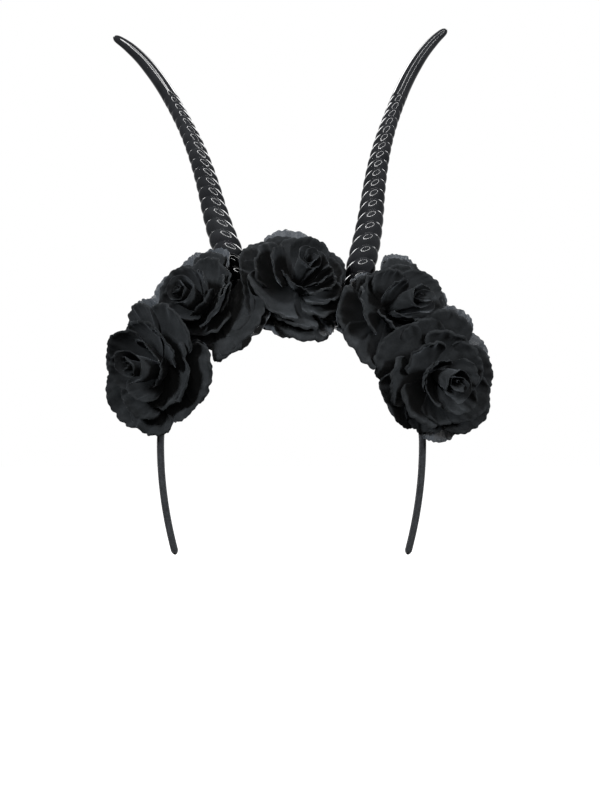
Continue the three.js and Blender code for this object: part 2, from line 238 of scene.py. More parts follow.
# %% Glossy horn plastic
PEEL_SIZE, HANDLING_SIZE = 3.5, 14.0


def make_horn_plastic():
    material = new_material("polished_black_abs")
    place = add_node(material, "TexCoord").outputs["Object"]
    peel = add_node(material, "TexNoise", inputs=blotches(place, PEEL_SIZE, 2.0))
    handling = add_node(material, "TexNoise", inputs=blotches(place, HANDLING_SIZE, 5.0))
    bump = add_node(material, "Bump", inputs={
        "Height": peel.outputs["Fac"], "Strength": 0.03, "Distance": 0.12 * MM})
    rough = add_node(material, "MapRange", inputs={
        "Value": handling.outputs["Fac"], 1: 0.35, 2: 0.75, 3: 0.05, 4: 0.12})
    tone = add_node(material, "ValToRGB", inputs={"Fac": handling.outputs["Fac"]},
                    stops=[(0.3, "#17181a"), (0.7, "#232426")])
    plastic = add_node(material, "BsdfPrincipled", inputs={
        "Base Color": tone.outputs["Color"],
        "Roughness": rough.outputs["Result"],
        "IOR": 1.5,
        "Normal": bump.outputs["Normal"],
    })
    keep_finish("horn_plastic", material, plastic)


make_horn_plastic()

# %% [markdown]
# The band is a springy strip wound with matt black woven tape. Its ribs run across the band
# and stand close together, and its yarns are finer still, so two waves of different pitch
# make the weave. Loose fibres take the gloss away.

# %% Woven tape
TAPE_RIB = 0.9
TAPE_FLUFF = 1.6


def make_woven_tape():
    material = new_material("matt_black_woven_tape")
    place = add_node(material, "Attribute", {"attribute_name": FLAT}).outputs["Vector"]
    ribs, yarns = weave_of(material, place, [("Z", TAPE_RIB), ("X", TAPE_RIB / 2)])
    raised = add_node(material, "Math", ADD, {0: yarns, 1: 0.6})
    weave = add_node(material, "Math", MULTIPLY, {0: ribs, 1: raised.outputs[0]})
    fluff = add_node(material, "TexNoise", inputs=blotches(place, TAPE_FLUFF))
    height = add_node(material, "Math", ADD, {0: weave.outputs[0], 1: fluff.outputs["Fac"]})
    bump = add_node(material, "Bump", inputs={
        "Height": height.outputs[0], "Strength": 0.6, "Distance": 0.18 * MM})
    tone = add_node(material, "ValToRGB", inputs={"Fac": fluff.outputs["Fac"]},
                    stops=[(0.3, "#17181a"), (0.7, "#26282b")])
    tape = add_node(material, "BsdfPrincipled", inputs={
        "Base Color": tone.outputs["Color"],
        "Roughness": 0.92,
        "Specular IOR Level": 0.2,
        "Sheen Weight": 0.2,
        "Sheen Roughness": 0.5,
        "Normal": bump.outputs["Normal"],
    })
    keep_finish("band_fabric", material, tape)


make_woven_tape()

# %% [markdown]
# The stems under the roses are plain moulded polyethylene. It leaves the mould with a slightly
# grained, satin surface, so one fine noise drives both its bump and its small change of tone.

# %% Satin stem plastic
STEM_GRAIN = 0.8


def make_stem_plastic():
    material = new_material("satin_black_polyethylene")
    place = add_node(material, "TexCoord").outputs["Object"]
    grain = add_node(material, "TexNoise", inputs=blotches(place, STEM_GRAIN)).outputs["Fac"]
    bump = add_node(material, "Bump", inputs={
        "Height": grain, "Strength": 0.3, "Distance": 0.08 * MM})
    tone = add_node(material, "ValToRGB", inputs={"Fac": grain},
                    stops=[(0.3, "#101112"), (0.7, "#1a1b1d")])
    plastic = add_node(material, "BsdfPrincipled", inputs={
        "Base Color": tone.outputs["Color"],
        "Roughness": 0.5,
        "Normal": bump.outputs["Normal"],
    })
    keep_finish("calyx_plastic", material, plastic)


make_stem_plastic()

# %% [markdown]
# Two kinds of blank are enough for every piece. What is round along its length, such as a
# horn, is turned: a profile is drawn by extruding one point, and Spin carries it round the
# axis. What is cloth starts as a flat grid. Each blank is then bent to its place, and the
# attribute "flat" remembers the straight blank, so that a weave bends with its cloth.

# %% Blanks and bending


def deselect():
    """Leaves nothing selected, because an operator acts on all that is."""
    bpy.ops.object.select_all(action="DESELECT")


def turned(name, profile, sides):
    """A body turned round Z from rows of (radius, height), closed at both ends."""
    deselect()
    bpy.ops.mesh.primitive_plane_add(size=1)
    blank = bpy.context.object
    blank.name = name
    bpy.ops.object.mode_set(mode="EDIT")
    bpy.ops.mesh.merge(type="CENTER")
    here = (0.0, 0.0)
    for number, (radius, height) in enumerate(profile):
        step = (radius - here[0], 0, height - here[1])
        if number:
            bpy.ops.mesh.extrude_region_move(TRANSFORM_OT_translate={"value": step})
        else:
            bpy.ops.transform.translate(value=step)
        here = (radius, height)
    bpy.ops.mesh.select_all(action="SELECT")
    bpy.ops.mesh.spin(steps=sides, angle=2 * math.pi, center=(0, 0, 0), axis=(0, 0, 1))
    bpy.ops.mesh.select_all(action="SELECT")
    bpy.ops.mesh.remove_doubles(threshold=1e-5)
    bpy.ops.mesh.normals_make_consistent(inside=False)
    bpy.ops.object.mode_set(mode="OBJECT")
    return blank


def flat_cloth(name, across, along):
    """A flat grid from -1 to 1 each way, with that many squares across and along."""
    deselect()
    bpy.ops.mesh.primitive_grid_add(x_subdivisions=across, y_subdivisions=along, size=2)
    blank = bpy.context.object
    blank.name = name
    return blank


def corners(blank):
    """A mesh's corners as rows of x, y and z."""
    rows = np.empty(len(blank.data.vertices) * 3)
    blank.data.vertices.foreach_get("co", rows)
    return rows.reshape(-1, 3)


def bend(blank, places, flat):
    """Moves a blank's corners to their places in mm, and keeps where they lay flat, in mm."""
    blank.data.vertices.foreach_set("co", (places * MM).ravel())
    kept = blank.data.attributes.new(FLAT, "FLOAT_VECTOR", "POINT")
    kept.data.foreach_set("vector", (flat * MM).ravel())
    blank.data.update()
    return blank


def joined(name, blanks):
    """Several blanks as one object."""
    deselect()
    for blank in blanks:
        blank.select_set(True)
    bpy.context.view_layer.objects.active = blanks[0]
    if len(blanks) > 1:
        bpy.ops.object.join()
    blanks[0].name = name
    return blanks[0]


def add_modifier(piece, kind, **settings):
    """Adds a modifier and applies it at once."""
    bpy.context.view_layer.objects.active = piece
    modifier = piece.modifiers.new(kind.lower(), kind)
    for name, value in settings.items():
        setattr(modifier, name, value)
    bpy.ops.object.modifier_apply(modifier=modifier.name)


def finished(piece, slot, nodes, crease=40):
    """Smooth shading, a finish, the body that it rides on and the nodes that it stands for."""
    deselect()
    piece.select_set(True)
    bpy.context.view_layer.objects.active = piece
    bpy.ops.object.shade_smooth_by_angle(angle=math.radians(crease))
    piece.data.materials.clear()
    piece.data.materials.append(FINISHES[slot])
    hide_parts(*nodes)
    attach(piece, "root")
    return piece


def smoothstep(low, high, x):
    """A share that goes softly from 0 at low to 1 at high."""
    share = np.clip((x - low) / (high - low), 0, 1)
    return share * share * (3 - 2 * share)


def unit(vector):
    """Vectors, one to a row or a single one, at length 1."""
    vector = np.asarray(vector, float)
    return vector / np.linalg.norm(vector, axis=-1, keepdims=True)

# %% [markdown]
# The band is a springy strip with a narrow, rounded section, bent like a horseshoe: half an
# ellipse at the crown and two legs that spring back inwards. A turned rod is the simplest
# blank. Bending squares its round section to the strip's, and lays it along the band's line,
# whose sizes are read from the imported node's box.

# %% Band
BAND_RISE = 74.0           # from the widest place up to the middle line at the crown
BAND_LEG_INSET = 8.8       # how far the tips spring back inwards
BAND_END_ROUNDING = 3.0
BAND_STEPS = 190
BAND_SIDES = 32
BAND_SQUARENESS = 0.72     # 1 keeps the rod round, and less makes its section squarer
BAND_END_STATIONS = (0, 0.06, 0.2, 0.45, 0.75)   # where rings lie within the rounding
BAND_END_SWELL = 0.3       # the least size that the section shrinks to at a tip

band_low, band_high = [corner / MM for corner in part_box("headband")]
BAND_THICKNESS = band_high.z
BAND_WIDTH = band_high.y - band_low.y
BAND_HALF_SPAN = band_high.x - BAND_THICKNESS / 2
WAIST = BAND_THICKNESS / 2 - BAND_RISE
BAND_LEG = WAIST - band_low.z
BAND_ARC = math.pi * (BAND_HALF_SPAN + BAND_RISE) / 2
BAND_LENGTH = BAND_ARC + 2 * BAND_LEG


def crown(angle):
    """The band's middle line and its outward direction at angles in radians round the crown."""
    angle = np.asarray(angle, float)
    level = np.zeros_like(angle)
    at = np.stack([BAND_HALF_SPAN * np.sin(angle), level,
                   WAIST + BAND_RISE * np.cos(angle)], axis=-1)
    out = np.stack([np.sin(angle) / BAND_HALF_SPAN, level, np.cos(angle) / BAND_RISE], axis=-1)
    return at, unit(out)


def band_line(distance):
    """The same by distance in mm, from the left tip over the crown to the right tip."""
    at, out = crown(math.pi * (distance - BAND_LENGTH / 2) / BAND_ARC)
    side = np.where(distance < BAND_LENGTH / 2, -1.0, 1.0)
    below = BAND_LEG - np.minimum(distance, BAND_LENGTH - distance)
    drop = np.maximum(below, 0) / BAND_LEG
    level = np.zeros_like(distance)
    leg = np.stack([side * (BAND_HALF_SPAN - BAND_LEG_INSET * drop ** 2), level,
                    WAIST - below], axis=-1)
    leg_out = unit(np.stack([side, level, -2 * BAND_LEG_INSET * drop / BAND_LEG], axis=-1))
    on_leg = (below > 0)[:, None]
    return np.where(on_leg, leg, at), np.where(on_leg, leg_out, out)


def make_band():
    ends = [BAND_END_ROUNDING * share for share in BAND_END_STATIONS]
    middle = list(np.linspace(BAND_END_ROUNDING, BAND_LENGTH - BAND_END_ROUNDING, BAND_STEPS))
    stations = ends + middle + [BAND_LENGTH - end for end in reversed(ends)]
    profile = [(0, 0)] + [(1, distance) for distance in stations] + [(0, BAND_LENGTH)]
    band = turned("band_tape", profile, BAND_SIDES)
    blank = corners(band)
    distance = blank[:, 2]
    from_end = np.minimum(distance, BAND_LENGTH - distance)
    rounding = np.clip(1 - from_end / BAND_END_ROUNDING, 0, 1)
    swell = np.maximum(BAND_END_SWELL, np.sqrt(1 - rounding ** 2))
    squared = np.sign(blank[:, :2]) * np.abs(blank[:, :2]) ** BAND_SQUARENESS
    thick = squared[:, 0] * BAND_THICKNESS / 2 * swell
    wide = squared[:, 1] * BAND_WIDTH / 2 * swell
    at, out = band_line(distance)
    places = at + out * thick[:, None] + np.outer(wide, (0, 1, 0))
    flat = np.stack([wide, thick, distance], axis=1)
    return finished(bend(band, places, flat), "band_fabric", ["headband"])


band = make_band()
print("band:", round(BAND_LENGTH), "mm round,", len(band.data.polygons), "faces")

# %% [markdown]
# A horn is a solid of beads: each rib is a rounded hoop that swells between two sharp
# valleys, and the hoops sit slanting, high in front and low on the inner side. Above the last
# rib the horn is smooth down to its point. It is turned straight on a lathe, one rib after
# another, and then bent along its curve, which leans outwards and sweeps back.

# %% Horns
HORN_LENGTH = 210.0
HORN_RADIUS = 8.95
HORN_SIDES = 64
HORN_BEDDING = 2.4
RIBS = 21
RIBS_FROM, RIBS_TO = 0.02, 0.73
RIB_CROWDING = 1.6         # the lowest rib's length over the highest rib's
RIB_RINGS = 12
RIB_DEPTH = 0.21           # share of the radius that a valley is deep on the outer side
RIB_FULLNESS = 2.1         # 2 is a plain arc; more is flatter in the middle of a bead
RIB_INNER_DEPTH = 0.9      # how much of that depth is left on the inner side
RIB_SIDE_SLANT = 20.0      # degrees that the hoops drop towards the inner side
RIB_FRONT_SLANT = 30.0     # and rise towards the front
RIB_FADE, RIB_FADE_RATE = 0.35, 3.0   # the depth left at the highest rib, and its growth below
SLANT_END = 0.08           # how far above the last rib the slant is gone
HORN_TIP_RINGS = 30
TIP_CROWDING = 1.5         # how much closer the rings lie towards the point
HORN_CREASE = 45           # degrees; an edge that turns more, as in a valley, stays sharp

# Where along the horn, the radius as a share, and the slopes outwards and backwards.
HORN_SECTIONS = np.array([
    (0.00, 1.020, 8.0, 10), (0.12, 1.000, 13.5, 14), (0.25, 0.950, 12.0, 20),
    (0.38, 0.810, 6.5, 24), (0.52, 0.680, 12.0, 26), (0.63, 0.570, 18.5, 26),
    (0.74, 0.510, 22.5, 24), (0.86, 0.455, 31.0, 20), (0.94, 0.370, 42.0, 16),
    (0.98, 0.290, 50.0, 14), (0.99, 0.250, 52.0, 13), (0.997, 0.160, 54.0, 12),
    (1.00, 0.050, 54.0, 12),
])
# The way that a horn bends, its angle round the crown and its extra lean.
HORNS = {"horn_left": (-1, -17.2, 7.7), "horn_right": (1, 25.8, 0.0)}
LINE_STEPS = 400


def horn_line(side, angle, lean):
    """The horn's middle line in short steps, with its direction at each."""
    at, out = crown(math.radians(angle))
    share = np.linspace(0, 1, LINE_STEPS + 1)
    stations, _, outwards, backwards = HORN_SECTIONS.T
    slope_out = np.tan(np.radians(np.interp(share, stations, outwards) + lean))
    slope_back = np.tan(np.radians(np.interp(share, stations, backwards)))
    ahead = unit(np.stack([side * slope_out, slope_back, np.ones_like(share)], axis=1))
    foot = at + out * (BAND_THICKNESS / 2 - HORN_BEDDING)
    steps = np.vstack([np.zeros(3), ahead[:-1] * HORN_LENGTH / LINE_STEPS])
    return foot + np.cumsum(steps, axis=0), ahead


def along_line(rows, share):
    """Rows that are evenly spaced from 0 to 1, read at any shares between."""
    grid = np.linspace(0, 1, len(rows))
    return np.stack([np.interp(share, grid, rows[:, i]) for i in range(3)], axis=1)


def horn_profile():
    """Rows of (radius share, share of the length) from the foot to the point."""
    lengths = np.linspace(RIB_CROWDING, 1, RIBS)
    pitches = (RIBS_TO - RIBS_FROM) * lengths / lengths.sum()
    rows = [(1, 0)]
    start = RIBS_FROM
    for pitch in pitches:
        depth = RIB_DEPTH * min(1, RIB_FADE + RIB_FADE_RATE * (RIBS_TO - start))
        for ring in range(RIB_RINGS):
            share = ring / RIB_RINGS
            radius = 1 - depth * abs(2 * share - 1) ** RIB_FULLNESS
            rows.append((radius, start + pitch * share))
        start += pitch
    for ring in range(HORN_TIP_RINGS + 1):
        rows.append((1, 1 - (1 - RIBS_TO) * (1 - ring / HORN_TIP_RINGS) ** TIP_CROWDING))
    return [(0, 0)] + rows + [(0, 1)]


def make_horn(name, side, angle, lean):
    horn = turned(name + "_beaded", horn_profile(), HORN_SIDES)
    blank = corners(horn)
    share = blank[:, 2]
    radius = HORN_RADIUS * np.interp(share, HORN_SECTIONS[:, 0], HORN_SECTIONS[:, 1])
    points, directions = horn_line(side, angle, lean)
    at, ahead = along_line(points, share), unit(along_line(directions, share))
    across = unit(np.cross((0, 1, 0), ahead))
    front = np.cross(across, ahead)
    rim = np.hypot(blank[:, 0], blank[:, 1])
    outer = side * blank[:, 0] / np.maximum(rim, 0.01)
    shallow = RIB_INNER_DEPTH + (1 - RIB_INNER_DEPTH) * smoothstep(-1, 0.5, outer)
    wall = np.where(rim > 0.5, 1 - (1 - rim) * shallow, rim) / np.maximum(rim, 0.01)
    x, y = radius * wall * blank[:, 0], radius * wall * -blank[:, 1]
    slope = side * math.tan(math.radians(RIB_SIDE_SLANT)) * x
    slope = slope + math.tan(math.radians(RIB_FRONT_SLANT)) * y
    ended = smoothstep(RIBS_TO, RIBS_TO + SLANT_END, share)
    fade = smoothstep(0, 2 * RIBS_FROM, share) * (1 - ended)
    slide = slope * fade
    places = at + across * x[:, None] + front * y[:, None] + ahead * slide[:, None]
    flat = np.stack([x, y, share * HORN_LENGTH], axis=1)
    return finished(bend(horn, places, flat), "horn_plastic", [name], HORN_CREASE)


for horn_name, (bends, stands_at, leans) in HORNS.items():
    made = make_horn(horn_name, bends, stands_at, leans)
    print(made.name, len(made.data.polygons), "faces")

# %% [markdown]
# Each rose stands on a stem that is glued to the band, and looks its own way. No two are
# alike, so their petals are listed one by one, as clock directions round each rose's axis.
# A table keeps them easy to compare, and one function then makes every rose.

# %% Where the roses stand
ROSE_HEIGHT = 32.0

# at and foot are angles round the crown; lift and front are where the rose's back stands off
# the band; face is where it looks; nearer marks the roses that lie over their neighbours.
# lean is how far the top of the bud stands to the right and up of the rose's axis.
# Each petal is (direction clockwise from up, rim's distance out, rim's height, half width).
ROSES = {
    "rose_left_low": dict(
        at=-57, foot=-57, lift=6, front=15, nearer=1, face=(-0.65, -0.74, -0.17), lean=(-4, 6),
        sheer=[(322, 36, 4, 30), (269, 46, 4, 28), (200, 42, 3, 30), (90, 37, 4, 34),
               (345, 41, 5, 28), (150, 33, 4, 32)],
        outer=[(343, 39, 10, 24), (33, 39, 13, 40), (98, 40, 8, 36), (142, 35, 8, 38),
               (237, 46, 12, 32), (203, 41, 11, 30), (285, 38, 11, 32)],
        middle=[(99, 29, 16, 46), (164, 23, 15, 44), (216, 30, 18, 34), (285, 29, 20, 40),
                (350, 27, 18, 38), (45, 24, 19, 44)],
        inner=[(315, 24, 25, 40), (30, 15, 23, 52), (203, 18, 23, 44), (268, 21, 25, 38),
               (115, 14, 22, 50)]),
    "rose_left_high": dict(
        at=-31.4, foot=-34, lift=12.5, front=8, nearer=0, face=(-0.58, -0.69, 0.43), lean=(0, 0),
        sheer=[(288, 48, 4, 26), (322, 43, 5, 26), (350, 40, 5, 28), (101, 50, 4, 32),
               (146, 41, 4, 34), (215, 35, 4, 34)],
        outer=[(300, 39, 10, 30), (346, 36, 10, 30), (86, 41, 7, 42), (108, 50, 10, 34),
               (132, 45, 9, 34), (164, 43, 6, 40), (205, 33, 9, 38), (245, 31, 10, 36)],
        middle=[(62, 25, 15, 46), (80, 22, 19, 50), (104, 25, 22, 46), (300, 26, 20, 36),
                (216, 23, 17, 48), (8, 27, 17, 42), (145, 28, 15, 46)],
        inner=[(312, 19, 26, 50), (46, 15, 26, 54), (208, 15, 24, 54), (112, 15, 24, 48),
               (265, 17, 25, 44)]),
    "rose_centre": dict(
        at=1, foot=1, lift=12.8, front=10, nearer=0, face=(0.28, -0.765, 0.58), lean=(1.5, 0),
        sheer=[(7, 41, 5, 34), (67, 40, 5, 32), (215, 40, 4, 30), (162, 38, 4, 34),
               (300, 36, 4, 36), (120, 36, 4, 32)],
        outer=[(301, 37, 9, 36), (347, 32, 11, 36), (62, 34, 10, 36), (120, 35, 7, 38),
               (184, 41, 6, 34), (238, 41, 7, 36), (272, 38, 8, 30)],
        middle=[(130, 18, 22, 48), (138, 24, 18, 44), (148, 29, 13, 40), (235, 35, 18, 42),
                (200, 35, 12, 34), (294, 28, 20, 42), (20, 27, 15, 42), (78, 26, 15, 38)],
        inner=[(282, 21, 27, 46), (30, 18, 27, 46), (127, 14, 26, 50), (222, 17, 25, 46)]),
    "rose_right_high": dict(
        at=35, foot=40, lift=15, front=8, nearer=0, face=(0.46, -0.79, 0.40), lean=(9, -3.5),
        sheer=[(30, 42, 4, 24), (74, 43, 5, 32), (261, 37, 4, 36), (198, 38, 4, 34),
               (138, 37, 4, 36), (318, 28, 4, 34)],
        outer=[(34, 36, 10, 30), (72, 39, 9, 36), (322, 25, 10, 32), (264, 38, 9, 38),
               (220, 43, 9, 34), (124, 37, 9, 38), (174, 35, 9, 36)],
        middle=[(324, 23, 15, 38), (261, 30, 22, 36), (218, 18, 20, 42), (154, 19, 18, 46),
                (84, 27, 19, 40), (354, 21, 19, 40), (122, 29, 15, 42), (40, 27, 16, 38)],
        inner=[(336, 13, 25, 52), (56, 21, 26, 42), (110, 18, 25, 46), (185, 12, 24, 52)]),
    "rose_right_low": dict(
        at=63, foot=63, lift=12, front=15, nearer=1, face=(0.32, -0.94, -0.07), lean=(5, -4.5),
        sheer=[(20, 41, 5, 26), (62, 36, 4, 32), (171, 39, 4, 30), (212, 33, 4, 34),
               (305, 37, 4, 34), (115, 35, 4, 32)],
        outer=[(10, 38, 12, 34), (300, 40, 10, 38), (336, 35, 10, 34), (86, 33, 12, 40),
               (136, 38, 12, 36), (236, 38, 8, 38), (192, 33, 9, 36)],
        middle=[(322, 22, 18, 48), (264, 31, 16, 34), (217, 28, 18, 42), (68, 24, 18, 44),
                (128, 30, 18, 40), (20, 26, 15, 42), (172, 26, 15, 38)],
        inner=[(330, 12, 24, 52), (83, 16, 25, 42), (146, 20, 24, 40), (219, 15, 24, 46),
               (280, 14, 23, 44)]),
}
petals_in_all = sum(len(rose[kind]) for rose in ROSES.values()
                    for kind in ("sheer", "outer", "middle", "inner"))
print("roses:", len(ROSES), "with", petals_in_all, "petals")

# %% [markdown]
# Petals are pressed against what is round them: the neighbouring roses, the horns beside them
# and the band below. A simulation could find those contacts, but each run would be slow and
# the petals would lose their pressed shape. So each surface is a plane, a circle or an
# ellipsoid, and a point that comes near is softly stopped by it. The functions here carry a
# point from the rose's own frame (angle clockwise from up, distance from the axis, height
# along it) to its place.

# %% How petals give way
PETAL_CLEARANCE = 0.8
NEARNESS = 0.25            # how far the nearer roses' petals lean over their neighbour's
NEIGHBOUR_OVERLAP = 1.5    # how far touching roses' petals reach in among each other
TOUCH_FROM, TOUCH_TO = 20.0, 36.0   # how far off the line between two roses they still touch
HORN_PRESS = 45.0          # how near a horn has to stand to press a rose
HORN_FRONT = 4.0           # how far behind a horn's middle line the pressing circle lies
PRESS_REACH = 1.6          # how softly petals give way
HOLLOW_DEPTH = 97.0        # half the depth of the open hollow inside the band
HOLLOW_BACK = 30.0         # how far the hollow's middle lies behind the band
GIVE_FROM, GIVE_TO = 6.0, 20.0      # a petal is stiff near its root and gives way further out


def rose_frame(rose):
    """A rose's hub, the way it faces, and up and right across that."""
    at, out = crown(math.radians(rose["at"]))
    hub = at + out * (BAND_THICKNESS / 2 + rose["lift"]) - np.array((0, rose["front"], 0))
    face = unit(rose["face"])
    up = unit(np.array((0, 0, 1)) - face * face[2])
    return hub, face, up, np.cross(up, face)


def soft_stop(distance, reach):
    """How a distance shrinks but never ends when cloth is pressed against a surface."""
    return (distance + np.sqrt(distance ** 2 + 4 * reach ** 2)) / 2


def press(points, on, away):
    """Points kept on the far side of a plane through on that faces away, near that place."""
    distance = (points - on) @ away
    beside = np.linalg.norm(points - on - np.outer(distance, away), axis=1)
    strength = 1 - smoothstep(TOUCH_FROM, TOUCH_TO, beside)
    return points + np.outer((soft_stop(distance, PRESS_REACH) - distance) * strength, away)


def press_off_hollow(points):
    """Points kept out of the open hollow, and off the band that stands proud round it."""
    proud = smoothstep(BAND_WIDTH, 2 * BAND_WIDTH, np.abs(points[:, 1]))
    over = PETAL_CLEARANCE + BAND_THICKNESS * (0.5 - proud)
    middle = np.stack([np.zeros(len(points)), np.full(len(points), HOLLOW_BACK),
                       np.minimum(points[:, 2], WAIST)], axis=1)
    away = points - middle
    fit = math.sqrt(1 - (HOLLOW_BACK / HOLLOW_DEPTH) ** 2)
    share = np.sqrt((away[:, 0] * fit / (BAND_HALF_SPAN + over)) ** 2
                    + (away[:, 1] / HOLLOW_DEPTH) ** 2
                    + (away[:, 2] * fit / (BAND_RISE + over)) ** 2)
    kept = soft_stop((share - 1) * BAND_HALF_SPAN, PRESS_REACH / 2)
    return middle + away * ((1 + kept / BAND_HALF_SPAN) / share)[:, None]


def press_off_horn(points, horn):
    """Points kept off a horn's round side, and rather in front of the horn than behind it."""
    line, _ = horn_line(*HORNS[horn])
    share = np.linspace(0, 1, len(line))
    radius = HORN_RADIUS * np.interp(share, HORN_SECTIONS[:, 0], HORN_SECTIONS[:, 1])
    middle = np.stack([np.interp(points[:, 2], line[:, 2], line[:, 0]),
                       np.interp(points[:, 2], line[:, 2], line[:, 1]) + HORN_FRONT,
                       points[:, 2]], axis=1)
    wide = np.interp(points[:, 2], line[:, 2], radius) + PETAL_CLEARANCE + HORN_FRONT
    away = points - middle
    distance = np.linalg.norm(away, axis=1)
    kept = wide + soft_stop(distance - wide, PRESS_REACH)
    return middle + away * (kept / distance)[:, None]


def planes_round(name):
    """The planes between a rose and its neighbours."""
    names = list(ROSES)
    here = names.index(name)
    rose = ROSES[name]
    hub = rose_frame(rose)[0]
    planes = []
    for other in names[max(0, here - 1):here] + names[here + 1:here + 2]:
        other_hub = rose_frame(ROSES[other])[0]
        towards = unit(hub - other_hub)
        towards[1] += NEARNESS * (ROSES[other]["nearer"] - rose["nearer"])
        towards = unit(towards)
        planes.append(((hub + other_hub) / 2 - towards * NEIGHBOUR_OVERLAP, towards))
    return planes


def horns_near(name):
    """The horns that stand close enough to press a rose."""
    hub = rose_frame(ROSES[name])[0]
    return [horn for horn in HORNS
            if np.linalg.norm(hub - horn_line(*HORNS[horn])[0][0]) < HORN_PRESS]


def rose_placer(name):
    """A function that carries (azimuth in radians, out, height) to a place in mm."""
    hub, face, up, right = rose_frame(ROSES[name])
    lean_right, lean_up = ROSES[name]["lean"]
    planes, horns = planes_round(name), horns_near(name)

    def place(azimuth, out, height):
        lean = (height / ROSE_HEIGHT) ** 2
        free = (hub + np.outer(height, face)
                + np.outer(out * np.sin(azimuth) + lean_right * lean, right)
                + np.outer(out * np.cos(azimuth) + lean_up * lean, up))
        stopped = free
        for on, away in planes:
            stopped = press(stopped, on, away)
        for horn in horns:
            stopped = press_off_horn(stopped, horn)
        stopped = press_off_hollow(stopped)
        give = smoothstep(GIVE_FROM, GIVE_TO, np.hypot(out, height))[:, None]
        return free + (stopped - free) * give

    return place

# %% [markdown]
# A petal is cut flat, pressed over a heated ball, and its rim is rolled back with hot pliers.
# The sheet is thin, so a grid that is moved corner by corner and given a wall by Solidify is
# truer than a simulation, which would relax the pressed shape. Each petal follows a curve from
# its root over a belly to its rim. Its last millimetres are curled back round a small circle,
# and its edge is cut in lobes and ripples. The phases of the waves are drawn from a seeded
# generator, so each run is the same.

# %% Petals
PETAL_WALL = 0.36
PETAL_ROOT = 1.6           # how near the axis a petal starts
PETAL_ACROSS, PETAL_ALONG = 80, 18
EDGE_CROWDING = 1.6        # how much closer the grid's rows lie towards the rim
LAP = 1.5                  # how far one edge of a petal stands out over its neighbour
LINE_POINTS = 81
PINKS = 16                 # how many small scallops there are round a petal's edge
LOBE_GAIN = 1.2            # the lobes' ripple is about this much short of its full height
BUCKLE = 0.3               # how far in mm the whole petal is out of true
CURL_FADE = (0.2, 0.55)    # the curl begins past these shares of the length
NARROWEST = 4.0            # mm from the axis, below which a pull to the side stops growing
CUT_FILL = 0.9             # the share of its outline that a petal fills after its lobes
SHEET_CREASE = 60          # degrees; only the cut edges of the cloth stay sharp
# Waves from one edge of a petal to the other, in half turns, for each kind of ripple.
LOBE_WAVES, WAVE_WAVES = (2.2, 5.3, 6.7), (1.3, 2.4, 3.9)
FLUTTER_WAVES, BUCKLE_WAVES = (5.3, 6.7, 8.3), (2.1, 3.3)

# root is the height of the petals' root; belly is where the curve from root to rim bulges, as
# shares of the way out and up; spread is the width's share at 0, 0.3, 0.6, 0.85 and 1 of the
# length; rounding is how much shorter a petal is at its edges than at its middle; curl is the
# angle that the rim turns back and rim the width in mm of what turns; wave is how far the
# whole edge ripples, lobes how deep its irregular lobes are cut as a share, pinking how deep
# the small even scallops are, and flutter how far the lobes stand off the petal's face.
WHORLS = {
    "sheer": dict(root=0.6, belly=(0.6, 0.3), spread=(0.62, 0.9, 1, 0.97, 0.86), rounding=0.36,
                  curl=15, rim=3.0, wave=1.5, lobes=0.022, flutter=0.6, pinking=0.010),
    "outer": dict(root=2.2, belly=(0.7, 0.28), spread=(0.6, 0.88, 1, 0.97, 0.86), rounding=0.38,
                  curl=80, rim=2.2, wave=1.3, lobes=0.024, flutter=0.5, pinking=0.009),
    "middle": dict(root=3.8, belly=(0.84, 0.26), spread=(0.62, 0.9, 1, 0.96, 0.84), rounding=0.34,
                   curl=90, rim=2.0, wave=1.1, lobes=0.024, flutter=0.4, pinking=0.006),
    "inner": dict(root=5.4, belly=(0.84, 0.3), spread=(0.6, 0.9, 1, 0.96, 0.88), rounding=0.26,
                  curl=60, rim=1.6, wave=0.8, lobes=0.02, flutter=0.25, pinking=0.004),
}
SPREAD_AT = (0, 0.3, 0.6, 0.85, 1)


def petal_line(whorl, reach, out, height):
    """Distance out, height and slope at each reach, up the petal's middle, and its length."""
    fine = np.linspace(0, 1, LINE_POINTS)
    belly_out, belly_up = whorl["belly"]
    run = (out - PETAL_ROOT) * ((1 - fine) * belly_out + fine * (1 - belly_out)) * 2
    climb = (height - whorl["root"]) * ((1 - fine) * belly_up + fine * (1 - belly_up)) * 2
    step = 1 / (LINE_POINTS - 1)
    far = PETAL_ROOT + np.concatenate([[0], np.cumsum(run[:-1] * step)])
    up = whorl["root"] + np.concatenate([[0], np.cumsum(climb[:-1] * step)])
    slope = np.arctan2(climb, run)
    found = [np.interp(reach, fine, values) for values in (far, up, slope)]
    return (*found, np.hypot(run, climb).mean())


def ripple(draw, across, reach, counts):
    """A soft wave over a petal, from a few sines with drawn phases, about 1 high."""
    total = np.zeros_like(across)
    for count in counts:
        turn, lean = draw.uniform(0, 2 * math.pi), draw.uniform(-1, 1)
        total += np.sin(count * math.pi * across + turn + 2 * lean * reach) / len(counts)
    return total


def curled(whorl, from_edge, reach):
    """How far the rim's curl pulls a point back from the edge, and how far it turns it under."""
    curl = math.radians(whorl["curl"]) * smoothstep(*CURL_FADE, reach)
    radius = whorl["rim"] / np.maximum(curl, 0.02)
    turned_by = np.clip(whorl["rim"] - from_edge, 0, None) / radius
    return radius * (turned_by - np.sin(turned_by)), radius * (1 - np.cos(turned_by))


